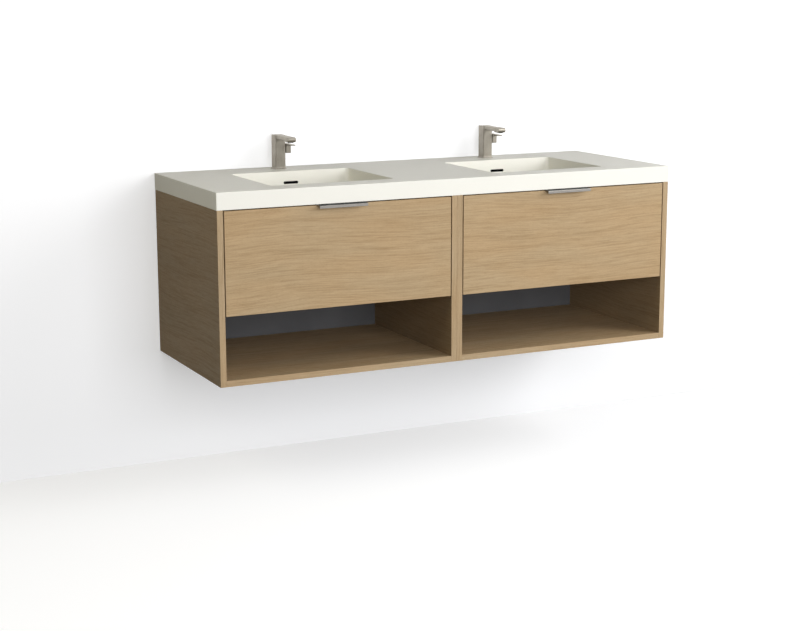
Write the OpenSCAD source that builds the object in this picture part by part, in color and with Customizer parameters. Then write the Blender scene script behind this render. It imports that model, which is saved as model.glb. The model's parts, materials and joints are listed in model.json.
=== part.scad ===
// Wall-hung double vanity: two drawer units with open shelves under one top with two basins.
// Millimetres. X runs to the right, Y towards the wall and Z up. The origin is the middle of
// the line of wall screws, on the face of the wall, so everything stands at negative Y.

/* [Countertop] */
// Width of the countertop
top_w = 1500; // [1400:10:1700]
// Depth of the countertop, from the wall to its front edge
top_d = 540; // [530:5:600]
// Height of the edge that shows
edge_h = 50; // [40:1:70]
// Thickness of the deck behind the edge
deck_t = 14; // [10:1:18]
// Width of the built-up band under the deck's edges
band_w = 30; // [22:1:40]
// Width of the rib under the middle of the deck
rib_w = 60; // [40:1:90]

/* [Basins] */
// Width of a basin at its rim
basin_w = 388; // [340:2:420]
// Depth of a basin at its rim, front to back
basin_d = 326; // [290:2:335]
// Gap between the wall and a basin's rim
basin_back = 134; // [125:1:145]
// How far a basin's middle lies inside the middle of its drawer bay
basin_shift = 13; // [0:1:25]
// Drop from the deck to a basin's floor
basin_drop = 110; // [90:1:125]
// Wall thickness of a basin
basin_wall = 10; // [8:1:12]
// Radius of a basin's upright corners at the rim
rim_r = 12; // [6:1:24]
// Radius between a basin's walls and its floor
floor_r = 30; // [20:1:40]
// How far the side walls lean in above the floor radius
lean_side = 8; // [4:1:40]
// How far the front wall leans in
lean_front = 8; // [4:1:40]
// How far the back wall leans in
lean_back = 8; // [4:1:15]
// Width of the overflow slot
slot_w = 48; // [30:1:60]
// Height of the overflow slot
slot_h = 8; // [6:0.5:12]
// Drop from the deck to the middle of the overflow slot
slot_drop = 35; // [25:1:45]
// Distance from the wall to the middle of a drain
drain_back = 229; // [215:1:260]

/* [Cabinet] */
// Height of the cabinet under the countertop
body_h = 500; // [470:5:600]
// How far the countertop stands past each end of the cabinet
body_inset = 1; // [0:0.5:5]
// Thickness of the cabinet boards
board_t = 18; // [16:1:20]
// Clear height of the open shelf
shelf_h = 183; // [150:1:200]
// Thickness of the shelf's back panel
back_t = 8; // [4:1:12]
// Depth, front to back, of the rail that lies behind a drawer front
rail_d = 43; // [30:1:44]
// Height of the upright hanging rail
hang_h = 100; // [90:1:120]
// Diameter of the dowels
dowel_d = 8; // [6:1:10]
// Length of the dowels
dowel_l = 24; // [20:1:26]

/* [Drawers] */
// Gap round a drawer front
reveal = 3; // [2:0.5:4]
// Thickness of a drawer front
front_t = 18; // [16:1:22]
// Thickness of the drawer box's boards
box_t = 12; // [10:1:15]
// Thickness of the drawer bottom
bottom_t = 8; // [5:1:10]
// Length of the drawer slides and of the drawer box
slide_l = 450; // [400:10:455]
// Height of the drawer slides
slide_h = 45; // [42:0.5:50]
// Space that a slide takes between the cabinet and the drawer box
slide_t = 12.7; // [12:0.1:14]
// Sheet thickness of the slides
sheet_t = 1.2; // [1:0.1:1.5]
// Width of the notch that clears the drain pipes
notch_w = 150; // [120:2:180]

/* [Edge pulls] */
// Width of an edge pull
pull_w = 150; // [100:5:250]
// How far an edge pull stands in front of the drawer
pull_out = 21; // [16:1:30]
// Height of its turned-down lip
pull_lip = 9; // [7:0.5:14]
// Sheet thickness of the pull
pull_t = 2; // [1.5:0.1:2.4]
// Height of the tab behind the drawer front
pull_tab = 25; // [20:1:40]

/* [Faucets] */
// Distance from the wall to the middle of a faucet
faucet_back = 50; // [45:1:58]
// How far a faucet stands outside the middle of its basin
faucet_shift = 4; // [0:1:8]
// Width of the faucet column
column_w = 34; // [32:1:38]
// Depth of the faucet column
column_d = 35; // [32:1:38]
// Height of the faucet above the deck
faucet_h = 104; // [98:1:140]
// Reach of the spout from the middle of the column
spout_reach = 111; // [90:1:120]
// Width of the spout
spout_w = 28; // [24:1:30]
// Thickness of the spout
spout_t = 12; // [11:0.5:16]
// Height of the lever's axis above the deck
lever_z = 59.5; // [56:0.5:66]
// Gap between the column and the lever's block
lever_gap = 3.5; // [3.5:0.1:5]
// Width of the lever's block
lever_w = 16.5; // [12:0.5:20]
// Depth of the lever's block
lever_d = 24; // [20:0.5:24]
// Height of the lever's block
lever_h = 25; // [20:0.5:30]
// How far the lever's plate runs in front of its block
lever_out = 37; // [20:1:45]
// Radius of the cartridge
cart_r = 12; // [11.5:0.1:13]
// Radius of the threaded shank under the deck
shank_r = 16; // [14.5:0.5:18]
// Radius of a supply inlet's thread
inlet_r = 5; // [4:0.5:5.5]

/* [Drains] */
// Outer radius of a drain's threaded body
drain_r = 21.5; // [20:0.5:24]
// Radius of a drain's flange
flange_r = 32; // [29:0.5:36]
// Outer radius of a tailpiece
tail_r = 16; // [14:0.5:16.5]
// Free length of a tailpiece under the drain body
tail_l = 75; // [50:1:80]
// How far a stopper lifts
stopper_lift = 8; // [5:0.5:12]

/* [Wall hanging] */
// Drop from the deck to the line of wall screws
screw_drop = 110; // [100:1:130]
// Spacing of the wall screws
screw_step = 240; // [200:5:245]
// Radius of the wall screw holes
screw_hole_r = 4.25; // [3:0.25:5]
// Thickness of the wall cleats' metal
cleat_t = 2.5; // [2:0.25:3]
// Height of the flat part of a cleat
cleat_h = 40; // [30:1:50]
// Height of a cleat's hook
hook_h = 10; // [8:0.5:14]

/* [Hidden] */
$fn = 48;
L = -1;
R = 1;

// Fits and clearances
cut = 1;               // how far a cut runs past the face it opens
fit = 0.05;            // radial clearance of a turning or sliding round fit
hole_fit = 0.1;        // radial clearance round screws, dowels and nuts
gap = 0.3;             // clearance between moving flat faces
setback = 2;           // from a drawer front's back to the divider behind it
box_clear = 12;        // from the basins' undersides to the drawer box
box_lift = 13;         // from the divider to the drawer box
boss_h = 18;           // how far a drain's boss reaches below the basin's floor
slide_up = 55;         // from the drawer box's underside to the middle of its slides
rail_in = 6;           // from a drawer front's back to the rail behind it
rail_drop = 5;         // from the basins' undersides to the rail
slide_in = 3;          // from a drawer front's back to the slides
slice_t = 0.01;        // thickness of the slices that shape a basin
hull_fn = 32;

// Heights
z_top = screw_drop;
z_under = z_top - deck_t;
z_body = z_top - edge_h;
z_base = z_body - body_h;
z_floor = z_base + board_t;
z_div = z_floor + shelf_h;
z_div_top = z_div + board_t;
boss_drop = basin_drop + basin_wall + boss_h;
z_boss = z_top - boss_drop;
z_box = z_div_top + box_lift;
z_box_top = z_boss - box_clear;
z_bottom = z_box + bottom_t;
z_slide = z_box + slide_up;
z_front = z_div;
front_h = z_body - reveal - z_front;

// Depths
y_front = -top_d;
y_front_in = y_front + front_t;
y_div = y_front_in + setback;
y_rail = y_front_in + rail_in;
z_rail = z_top - basin_drop - basin_wall - rail_drop;
y_box = y_front_in;
y_box_back = y_box + slide_l;
y_slide = y_front_in + slide_in;
y_basin_back = -basin_back;
y_drain = -drain_back;
y_faucet = -faucet_back;

// Widths, for the right half; the left half mirrors it
half_w = top_w / 2 - body_inset;
x_in = board_t;
x_out = half_w - board_t;
bay_w = x_out - x_in;
bay_x = (x_in + x_out) / 2;
basin_x = bay_x - basin_shift;
faucet_x = basin_x + faucet_shift;
x_box = x_in + slide_t;
x_box_end = x_out - slide_t;

// Cleats: how far the hanging rail stands off the wall
cleat_gap = 0.3;
cleat_in = 30;         // from a side board to a cleat's end
rail_off = 3 * cleat_t + 3 * cleat_gap;
cleat_x0 = x_in + cleat_in;
cleat_x1 = x_out - cleat_in;
y_hang = -rail_off - board_t;

// Screws and dowels
screw_r = 2;
head_r = 3.6;
head_h = 1.5;
dowel_r = dowel_d / 2;
bolt_r = 4;
bolt_head_r = 8;
bolt_head_h = 2;
bolt_in = 65;          // from a side board's front and rear edges to its bolts
bolt_up = 11;          // from the divider to the lower bolts
bolt_drop = 38;        // from the side board's top to the upper bolts
dowel_in = 40;         // from a board's front and rear edges to its end dowels
rail_dowel_in = 11;    // from a front rail's front and rear edges to its dowels
hang_dowel_in = 25;    // from a hanging rail's top and bottom edges to its dowels

// Dowel places on a board's ends, as [y, z]
floor_dowels = [for (y = [y_front + dowel_in, y_front / 2, -dowel_in]) [y, z_base + board_t / 2]];
div_dowels = [for (y = [y_div + dowel_in, y_front / 2, -dowel_in]) [y, z_div + board_t / 2]];
rail_dowels = [for (y = [rail_dowel_in, rail_d - rail_dowel_in]) [y_rail + y, z_rail - board_t / 2]];
hang_dowels = [for (z = [hang_dowel_in, hang_h - hang_dowel_in]) [y_hang + board_t / 2, z_body - z]];
all_dowels = concat(floor_dowels, div_dowels, rail_dowels, hang_dowels);

// Bolts that join the two units, as [y, z]
join_bolts = [for (y = [y_front + bolt_in, -bolt_in], z = [z_body - bolt_drop, z_div_top + bolt_up])
    [y, z]];

// Slide screws along Y
slide_screw_in = 35;
slide_screw_l = 12;
slide_screw_ys = [for (y = [slide_screw_in, slide_l / 2, slide_l - slide_screw_in]) y_slide + y];

oak = "BurlyWood";
white = "White";
nickel = "Silver";
steel = "LightGrey";
dark = "DimGrey";
board = "Wheat";

// ---- helpers ----

// Draws its children in the right half, or mirrored in the left one
module half(s) {
    if (s < 0) mirror([1, 0, 0]) children();
    else children();
}

// A box between two corners
module span(low, high) {
    translate(low) cube(high - low);
}

// A cylinder along X from x0 to x1
module rod_x(r, x0, x1, y, z) {
    translate([x0, y, z]) rotate([0, 90, 0]) cylinder(r = r, h = x1 - x0);
}

// A cylinder along Y from y0 to y1
module rod_y(r, y0, y1, x, z) {
    translate([x, y0, z]) rotate([-90, 0, 0]) cylinder(r = r, h = y1 - y0);
}

// A cylinder along Z from z0 to z1
module rod_z(r, z0, z1, x, y) {
    translate([x, y, z0]) cylinder(r = r, h = z1 - z0);
}

// A rectangle with round corners, centred
module round_rect(w, d, r) {
    square([w - 2 * r, d], center = true);
    square([w, d - 2 * r], center = true);
    for (x = [-1, 1], y = [-1, 1]) translate([x * (w / 2 - r), y * (d / 2 - r)]) circle(r = r);
}

// A wood screw: its head's underside is at the start, and it points along +Z
module screw(r, l) {
    translate([0, 0, -head_h]) cylinder(r = head_r, h = head_h);
    cylinder(r = r, h = l);
}

// Dowels, or the holes for them, across both ends of a bay
module dowels(places, r, l) {
    for (x = [x_in, x_out], p = places) rod_x(r, x - l / 2, x + l / 2, p[0], p[1]);
}

module dowel_holes(places) {
    dowels(places, dowel_r + hole_fit, dowel_l + cut);
}

// ---- countertop and basins ----

shank_play = 1.5;      // clearance round a faucet's shank in the deck

// How far a basin's wall with this lean has come in at this drop, along the straight wall
function wall_in(lean, drop) = lean * drop / (basin_drop - floor_r);

corner_spread = 1 / 40;  // growth of an upright corner's radius with the drop

// A thin level slice of a basin's bowl; grow adds the wall round it
module bowl_slice(drop, turn, grow) {
    bend = floor_r * (1 - cos(turn));
    side_in = wall_in(lean_side, min(drop, basin_drop - floor_r)) + bend;
    front_in = wall_in(lean_front, min(drop, basin_drop - floor_r)) + bend;
    back_in = wall_in(lean_back, min(drop, basin_drop - floor_r)) + bend;
    low = drop + (turn > 0 ? grow * sin(turn) : 0);
    w = basin_w - 2 * side_in + 2 * grow;
    d = basin_d - front_in - back_in + 2 * grow;
    y = y_basin_back - basin_d / 2 + (front_in - back_in) / 2;
    r = rim_r + bend / 2 + drop * corner_spread + grow / 2;
    translate([basin_x, y, z_top - low - slice_t])
        linear_extrude(slice_t) round_rect(w, d, r, $fn = hull_fn);
}

// The bowl from start (a drop below the deck) to its floor
module bowl(start, grow) {
    hull() {
        bowl_slice(start, 0, grow);
        for (turn = [0:22.5:90]) bowl_slice(basin_drop - floor_r * (1 - sin(turn)), turn, grow);
    }
}

band_play = 1;         // clearance of the bands round the basins

// The bands under the deck's edges and the rib in its middle
module bands() {
    span([-top_w / 2, y_front, z_body], [top_w / 2, y_front + band_w, z_under]);
    span([-top_w / 2, -band_w / 2, z_body], [top_w / 2, 0, z_under]);
    for (s = [L, R]) half(s)
        span([top_w / 2 - band_w, y_front, z_body], [top_w / 2, 0, z_under]);
    span([-rib_w / 2, y_front, z_body], [rib_w / 2, 0, z_under]);
}

module countertop() {
    color(white) difference() {
        union() {
            span([-top_w / 2, y_front, z_under], [top_w / 2, 0, z_top]);
            difference() {
                bands();
                for (s = [L, R]) half(s) bowl(deck_t - cut, basin_wall + band_play);
            }
        }
        for (s = [L, R]) half(s) {
            bowl(-cut, 0);
            rod_z(shank_r + shank_play, z_under - cut, z_top + cut, faucet_x, y_faucet);
        }
    }
}

duct_w = 52;
duct_wall = 6;
duct_d = 8;
duct_in = 5;
y_duct = y_basin_back + duct_in;
z_duct = z_boss + duct_wall;

module overflow_duct_outside() {
    y_out = y_duct + duct_d + duct_wall;
    span([basin_x - duct_w / 2 - duct_wall, y_duct - 2 * duct_wall, z_boss],
         [basin_x + duct_w / 2 + duct_wall, y_out, z_under]);
    span([basin_x - duct_w / 2, y_drain, z_boss],
         [basin_x + duct_w / 2, y_duct, z_top - basin_drop]);
}

module overflow_duct_inside() {
    z_cap = z_top - slot_drop + slot_h;
    span([basin_x - duct_w / 2, y_duct, z_duct], [basin_x + duct_w / 2, y_duct + duct_d, z_cap]);
    span([basin_x - duct_w / 2 + duct_wall, y_drain, z_duct],
         [basin_x + duct_w / 2 - duct_wall, y_duct + cut, z_duct + duct_d]);
    z_slot = z_top - slot_drop;
    slot_r = slot_h / 2;
    y_slot = y_basin_back - lean_back - duct_wall;
    span([basin_x - slot_w / 2 + slot_r, y_slot, z_slot - slot_r],
         [basin_x + slot_w / 2 - slot_r, y_duct + cut, z_slot + slot_r]);
    for (x = [-1, 1])
        rod_y(slot_r, y_slot, y_duct + cut, basin_x + x * (slot_w / 2 - slot_r), z_slot);
}

flange_t = 2;
flange_play = 0.5;
drain_play = 1;
z_drain = z_top - basin_drop;

module basin() {
    color(white) difference() {
        union() {
            bowl(deck_t, basin_wall);
            overflow_duct_outside();
            rod_z(flange_r + flange_t, z_boss, z_drain, basin_x, y_drain);
        }
        bowl(deck_t - cut, 0);
        overflow_duct_inside();
        rod_z(drain_r + drain_play, z_boss - cut, z_drain + cut, basin_x, y_drain);
        rod_z(flange_r + flange_play, z_drain - flange_t, z_drain + cut, basin_x, y_drain);
    }
}

// ---- drains ----

gasket_t = 4;
nut_t = 10;
z_nut = z_boss - gasket_t - nut_t;
thread_l = 14;         // thread that shows below the nut
drain_wall = 4;
throat_r = drain_r - drain_wall;
z_drain_end = z_nut - thread_l;
spigot_l = 15;         // length of a tailpiece inside the drain body
spigot_step = 0.5;
spigot_r = tail_r - spigot_step;
guide_r = 3;
guide_wall = 3;
bar_w = 5;
bar_drop = 26;
z_bar = z_drain - bar_drop;
bar_h = 8;
plug_r = 22;
plug_t = 3;
plug_step = 4;
stem_over = 4;         // stem left below the bar when a stopper is up
plug_stem_l = bar_drop + stopper_lift + stem_over;

module drain_body() {
    color(nickel) difference() {
        union() {
            rod_z(flange_r, z_drain - flange_t, z_drain, basin_x, y_drain);
            rod_z(drain_r, z_drain_end, z_drain, basin_x, y_drain);
        }
        difference() {
            rod_z(throat_r, z_drain_end + spigot_l, z_drain + cut, basin_x, y_drain);
            // cross bar with the bore that guides the stopper
            span([basin_x - drain_r, y_drain - bar_w / 2, z_bar],
                 [basin_x + drain_r, y_drain + bar_w / 2, z_bar + bar_h]);
            rod_z(guide_r + guide_wall, z_bar, z_bar + bar_h, basin_x, y_drain);
        }
        rod_z(guide_r + fit, z_bar - cut, z_bar + bar_h + cut, basin_x, y_drain);
        rod_z(spigot_r + hole_fit, z_drain_end - cut, z_drain_end + spigot_l + cut, basin_x, y_drain);
        // way in for the overflow
        rod_y(way_r, y_drain + throat_r - cut, y_drain + drain_r + cut, basin_x, z_duct + duct_d / 2);
    }
}

module stopper() {
    color(nickel) {
        rod_z(plug_r, z_drain + gap, z_drain + gap + plug_t, basin_x, y_drain);
        rod_z(plug_r - plug_step, z_drain + plug_t, z_drain + gap + plug_t + cut, basin_x, y_drain);
        rod_z(guide_r, z_drain - plug_stem_l, z_drain + plug_t, basin_x, y_drain);
    }
}

module drain_gaskets() {
    color(dark) for (s = [L, R]) half(s) difference() {
        rod_z(flange_r, z_boss - gasket_t, z_boss, basin_x, y_drain);
        rod_z(drain_r + hole_fit, z_boss - gasket_t - cut, z_boss + cut, basin_x, y_drain);
    }
}

module drain_nuts() {
    color(nickel) for (s = [L, R]) half(s) difference() {
        translate([basin_x, y_drain, z_nut]) cylinder(r = flange_r, h = nut_t, $fn = 6);
        rod_z(drain_r + hole_fit, z_nut - cut, z_nut + nut_t + cut, basin_x, y_drain);
    }
}

module tailpiece() {
    tube_t = 1.7;
    color(nickel) difference() {
        union() {
            rod_z(tail_r, z_drain_end - tail_l, z_drain_end, basin_x, y_drain);
            rod_z(spigot_r, z_drain_end - cut, z_drain_end + spigot_l, basin_x, y_drain);
        }
        rod_z(tail_r - tube_t, z_drain_end - tail_l - cut, z_drain_end + spigot_l + cut, basin_x, y_drain);
    }
}

// ---- faucets: drawn about the middle of the column at deck height ----

module at_faucet(s) {
    translate([s * faucet_x, y_faucet, z_top]) children();
}

plinth_w = 41;
plinth_h = 3;
plinth_r = 5;
column_r = 4;
tip_r = 6;
outlet_l = 26;
outlet_drop = 3;
outlet_r = 5;
shank_l = 60;
inlet_l = 14;
face = column_w / 2;
pivot_in = 10;
pivot_x = face - pivot_in;
cart_end = -9;
aerator_r = 9;
aerator_t = 6;
aerator_out = 1.5;
aerator_rim = 2;
aerator_y = -spout_reach + outlet_l / 2;
spout_z = faucet_h - spout_t;
outlet_z = spout_z - outlet_drop;
way_r = 3;

// Side view of the spout: a flat arm with a round tip and a deeper outlet under it
module spout_profile() {
    translate([-spout_reach + tip_r, spout_z]) square([spout_reach - tip_r, spout_t]);
    translate([-spout_reach, outlet_z + outlet_r])
        square([outlet_l, spout_t + outlet_drop - outlet_r - tip_r]);
    translate([-spout_reach + outlet_r, outlet_z]) square([outlet_l - 2 * outlet_r, spout_t]);
    translate([-spout_reach + tip_r, faucet_h - tip_r]) circle(r = tip_r);
    for (y = [outlet_r, outlet_l - outlet_r])
        translate([-spout_reach + y, outlet_z + outlet_r]) circle(r = outlet_r);
}

module faucet_body() {
    color(nickel) difference() {
        union() {
            linear_extrude(faucet_h) round_rect(column_w, column_d, column_r);
            linear_extrude(plinth_h) round_rect(plinth_w, plinth_w, plinth_r);
            translate([-spout_w / 2, 0, 0]) rotate([90, 0, 90]) linear_extrude(spout_w) spout_profile();
            rod_z(shank_r, -shank_l, cut, 0, 0);
        }
        // seat of the cartridge
        rod_x(cart_r + fit, cart_end, face + cut, 0, lever_z);
        // recess of the aerator, and the way of the water to it
        rod_z(aerator_r + hole_fit, outlet_z - cut, outlet_z + aerator_t, 0, aerator_y);
        rod_z(way_r, outlet_z, spout_z + spout_t / 2, 0, aerator_y);
        rod_y(way_r, aerator_y, 0, 0, spout_z + spout_t / 2);
        rod_z(way_r, lever_z, spout_z + spout_t / 2, 0, 0);
        // hot and cold inlets
        for (x = [-1, 1]) {
            rod_z(inlet_r, -shank_l - cut, -shank_l + inlet_l, x * shank_r / 2, 0);
            rod_z(way_r, -shank_l, lever_z, x * shank_r / 2, 0);
        }
    }
}

module aerator() {
    color(dark) difference() {
        rod_z(aerator_r, outlet_z - aerator_out, outlet_z + aerator_t - gap, 0, aerator_y);
        rod_z(aerator_r - aerator_rim, outlet_z - aerator_out - cut, outlet_z + cut, 0, aerator_y);
        rod_z(way_r, outlet_z, outlet_z + aerator_t + cut, 0, aerator_y);
    }
}

stem_r = 4.5;
pin_r = 2;
pin_in = 1.5;
pin_reach = cart_r - pin_in;
tilt = 18;             // degrees that a lever swings out
plate_t = 4;           // thickness of a lever's plate over its block
tip_t = 2;             // and at its free end
plate_dip = 0.5;

// The cartridge turns in the column about X, and carries the lever's cross pin
module cartridge() {
    play = gap + stem_r;
    swing = (face - pivot_x) * tan(tilt) + stem_r / cos(tilt) + gap;
    color(dark) difference() {
        rod_x(cart_r, cart_end + gap, face - gap, 0, lever_z);
        span([pivot_x - play - gap, -play, lever_z - play], [face + cut, swing, lever_z + play]);
        rod_z(pin_r + fit, lever_z - cart_r - cut, lever_z + cart_r + cut, pivot_x, 0);
    }
}

// Side view of the lever's plate, thin at its free end
module lever_plate_profile() {
    rear = lever_d / 2;
    low = lever_h / 2;
    tip_top = low + plate_t - plate_dip;
    polygon([[rear, low], [rear, low + plate_t], [-rear - lever_out, tip_top],
             [-rear - lever_out, tip_top - tip_t], [-rear, low]]);
}

module lever() {
    x0 = face + lever_gap;
    bevel = 4;
    tip_top = lever_z + lever_h / 2 + plate_t - plate_dip;
    color(nickel) {
        // block, with its rear inner edge cut away to clear the column as it swings
        translate([0, 0, lever_z - lever_h / 2]) linear_extrude(lever_h)
            polygon([[x0, -lever_d / 2], [x0 + lever_w, -lever_d / 2], [x0 + lever_w, lever_d / 2],
                     [x0 + bevel, lever_d / 2], [x0, lever_d / 2 - bevel]]);
        translate([x0 + bevel, 0, lever_z]) rotate([90, 0, 90])
            linear_extrude(lever_w - bevel) lever_plate_profile();
        span([x0, -lever_d / 2 - lever_out, tip_top - tip_t], [x0 + bevel, lever_d / 2 - bevel, tip_top]);
        // stem, its round end and the cross pin
        rod_x(stem_r, pivot_x, x0 + cut, 0, lever_z);
        rod_z(stem_r, lever_z - stem_r, lever_z + stem_r, pivot_x, 0);
        rod_z(pin_r, lever_z - pin_reach, lever_z + pin_reach, pivot_x, 0);
    }
}

module faucet_nuts() {
    nut_h = 8;
    nut_out = 6;
    washer_t = 2;
    washer_out = 9;
    color(nickel) for (s = [L, R]) at_faucet(s) difference() {
        union() {
            rod_z(shank_r + washer_out, -deck_t - washer_t, -deck_t, 0, 0);
            translate([0, 0, -deck_t - washer_t - nut_h])
                cylinder(r = shank_r + nut_out, h = nut_h, $fn = 6);
        }
        rod_z(shank_r + hole_fit, -deck_t - washer_t - nut_h - cut, -deck_t + cut, 0, 0);
    }
}

// ---- carcass ----

module slide_screw_holes(x0, x1) {
    for (y = slide_screw_ys) rod_x(screw_r + hole_fit, x0, x1, y, z_slide);
}

module inner_side() {
    color(oak) difference() {
        span([0, y_front, z_base], [x_in, 0, z_body]);
        for (p = all_dowels)
            rod_x(dowel_r + hole_fit, x_in - dowel_l / 2 - cut / 2, x_in + cut, p[0], p[1]);
        for (p = join_bolts) rod_x(bolt_r + hole_fit, -cut, x_in + cut, p[0], p[1]);
        slide_screw_holes(x_in - slide_screw_l - cut, x_in + cut);
    }
}

module outer_side() {
    color(oak) difference() {
        span([x_out, y_front, z_base], [half_w, 0, z_body]);
        for (p = all_dowels)
            rod_x(dowel_r + hole_fit, x_out - cut, x_out + dowel_l / 2 + cut / 2, p[0], p[1]);
        slide_screw_holes(x_out - cut, x_out + slide_screw_l + cut);
    }
}

module floor_board() {
    color(oak) difference() {
        span([x_in, y_front, z_base], [x_out, 0, z_floor]);
        dowel_holes(floor_dowels);
    }
}

module divider() {
    color(oak) difference() {
        span([x_in, y_div, z_div], [x_out, 0, z_div_top]);
        dowel_holes(div_dowels);
    }
}

module shelf_backs() {
    color(dark) for (s = [L, R]) half(s) span([x_in, -back_t, z_floor], [x_out, 0, z_div]);
}

module front_rails() {
    color(board) for (s = [L, R]) half(s) difference() {
        span([x_in, y_rail, z_rail - board_t], [x_out, y_rail + rail_d, z_rail]);
        dowel_holes(rail_dowels);
    }
}

cleat_screw_l = 16;
cleat_screw_in = 20;
cleat_screw_xs = [cleat_x0 + cleat_screw_in, screw_step, 2 * screw_step, cleat_x1 - cleat_screw_in];
cleat_screw_z = cleat_h / 4;

module hanging_rails() {
    color(board) for (s = [L, R]) half(s) difference() {
        span([x_in, y_hang, z_body - hang_h], [x_out, -rail_off, z_body]);
        dowel_holes(hang_dowels);
        for (x = cleat_screw_xs)
            rod_y(screw_r + hole_fit, -rail_off - cleat_screw_l, -rail_off + cut, x, cleat_screw_z);
    }
}

module carcass_dowels() {
    color(board) for (s = [L, R]) half(s) dowels(all_dowels, dowel_r, dowel_l);
}

module joining_bolts() {
    color(steel) for (p = join_bolts) {
        rod_x(bolt_r, -x_in - 1, x_in + 1, p[0], p[1]);
        for (s = [L, R]) half(s) rod_x(bolt_head_r, x_in, x_in + bolt_head_h, p[0], p[1]);
    }
}

// ---- hanging cleats ----

hook_top = cleat_h / 2 + hook_h;

module wall_cleats() {
    y_hook = -2 * cleat_t - 2 * cleat_gap;
    color(steel) for (s = [L, R]) half(s) difference() {
        union() {
            span([cleat_x0, -cleat_t, -cleat_h / 2], [cleat_x1, 0, cleat_h / 2]);
            span([cleat_x0, y_hook, cleat_h / 2 - cleat_t], [cleat_x1, 0, cleat_h / 2]);
            span([cleat_x0, y_hook, cleat_h / 2 - cleat_t], [cleat_x1, y_hook + cleat_t, hook_top]);
        }
        for (i = [0:2]) rod_y(screw_hole_r, -cleat_t - cut, cut, (i + 0.5) * screw_step, 0);
    }
}

module cabinet_cleats() {
    color(steel) for (s = [L, R]) half(s) difference() {
        union() {
            span([cleat_x0, -rail_off, -cleat_h / 2], [cleat_x1, -rail_off + cleat_t, hook_top + cleat_t]);
            span([cleat_x0, -rail_off, hook_top], [cleat_x1, -cleat_gap, hook_top + cleat_t]);
            span([cleat_x0, -cleat_gap - cleat_t, cleat_h / 2 + cut],
                 [cleat_x1, -cleat_gap, hook_top + cleat_t]);
        }
        for (x = cleat_screw_xs)
            rod_y(screw_r + hole_fit, -rail_off - cut, -rail_off + cleat_t + cut, x, cleat_screw_z);
    }
}

module cleat_screws() {
    color(steel) for (s = [L, R]) half(s) for (x = cleat_screw_xs)
        translate([x, -rail_off + cleat_t, cleat_screw_z]) rotate([90, 0, 0])
            screw(screw_r, cleat_screw_l);
}

// ---- drawer slides: C sections nested in each other ----

// A C section along Y, open towards +X: its web starts at x and its flanges end at x_end
module channel(x, x_end, h, y0, y1) {
    span([x, y0, z_slide - h / 2], [x + sheet_t, y1, z_slide + h / 2]);
    for (up = [0, 1]) {
        z = up == 0 ? z_slide - h / 2 : z_slide + h / 2 - sheet_t;
        span([x, y0, z], [x_end, y1, z + sheet_t]);
    }
}

// Draws its children against the inner side of the bay and mirrored against the outer side
module both_walls() {
    translate([x_in, 0, 0]) children();
    translate([x_out, 0, 0]) mirror([1, 0, 0]) children();
}

web_gap = 0.4;
mid_h = slide_h - 2 * sheet_t - 2 * gap;
inner_h = mid_h - 2 * sheet_t - 2 * gap;
mid_x = sheet_t + web_gap;
inner_x = mid_x + sheet_t + web_gap;
web_clear = 1;
flange_end = slide_t - sheet_t - web_clear;
mid_in = 2;            // how far the middle member stands in at each end

module slide_outer() {
    color(steel) both_walls() difference() {
        channel(0, flange_end, slide_h, y_slide, y_slide + slide_l);
        for (y = slide_screw_ys) rod_x(head_r + hole_fit, -cut, sheet_t + cut, y, z_slide);
    }
}

module slide_middle() {
    color(steel) both_walls()
        channel(mid_x, flange_end, mid_h, y_slide + mid_in, y_slide + slide_l - mid_in);
}

module slide_inner() {
    color(steel) both_walls() difference() {
        translate([slide_t, 0, 0]) mirror([1, 0, 0])
            channel(0, slide_t - inner_x, inner_h, y_slide, y_slide + slide_l - 2 * mid_in);
        slide_screw_holes(slide_t - sheet_t - cut, slide_t + cut);
    }
}

// Flat screws that hold the outer members to the sides, flush with the web
module slide_screws() {
    color(steel) for (s = [L, R]) half(s) both_walls() for (y = slide_screw_ys) {
        rod_x(head_r, 0, sheet_t, y, z_slide);
        rod_x(screw_r, -slide_screw_l, sheet_t, y, z_slide);
    }
}

// ---- drawers ----

front_w = bay_w - 2 * reveal;
front_screw_l = 11;    // how deep the screws reach into a drawer front
side_screw_l = 7;      // and into a drawer's side
sub_screw_in = 28;
pull_screw_in = 20;
sub_screws = [for (x = [-1, 1], z = [z_box + sub_screw_in, z_box_top - sub_screw_in])
    [bay_x + x * bay_w / 3, z]];
pull_screws = [for (x = [-1, 1]) bay_x + x * (pull_w / 2 - pull_screw_in)];
pull_screw_z = z_body - reveal - pull_tab / 2;

module drawer_front() {
    color(oak) difference() {
        span([bay_x - front_w / 2, y_front, z_front], [bay_x + front_w / 2, y_front_in, z_front + front_h]);
        for (p = concat(sub_screws, [for (x = pull_screws) [x, pull_screw_z]]))
            rod_y(screw_r + hole_fit, y_front_in - front_screw_l - cut, y_front_in + cut, p[0], p[1]);
    }
}

module edge_pull() {
    x0 = bay_x - pull_w / 2;
    x1 = bay_x + pull_w / 2;
    z0 = z_body - reveal;
    y_lip = y_front - pull_out;
    color(nickel) difference() {
        union() {
            span([x0, y_lip, z0], [x1, y_front_in + pull_t, z0 + pull_t]);
            span([x0, y_lip, z0 + pull_t - pull_lip], [x1, y_lip + pull_t, z0 + pull_t]);
            span([x0, y_front_in, z0 + pull_t - pull_tab], [x1, y_front_in + pull_t, z0 + pull_t]);
        }
        for (x = pull_screws)
            rod_y(screw_r + hole_fit, y_front_in - cut, y_front_in + pull_t + cut, x, pull_screw_z);
    }
}

module drawer_subfront() {
    color(board) difference() {
        span([x_box + box_t, y_box, z_box], [x_box_end - box_t, y_box + box_t, z_box_top]);
        for (p = sub_screws) rod_y(screw_r + hole_fit, y_box - cut, y_box + box_t + cut, p[0], p[1]);
    }
}

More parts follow.
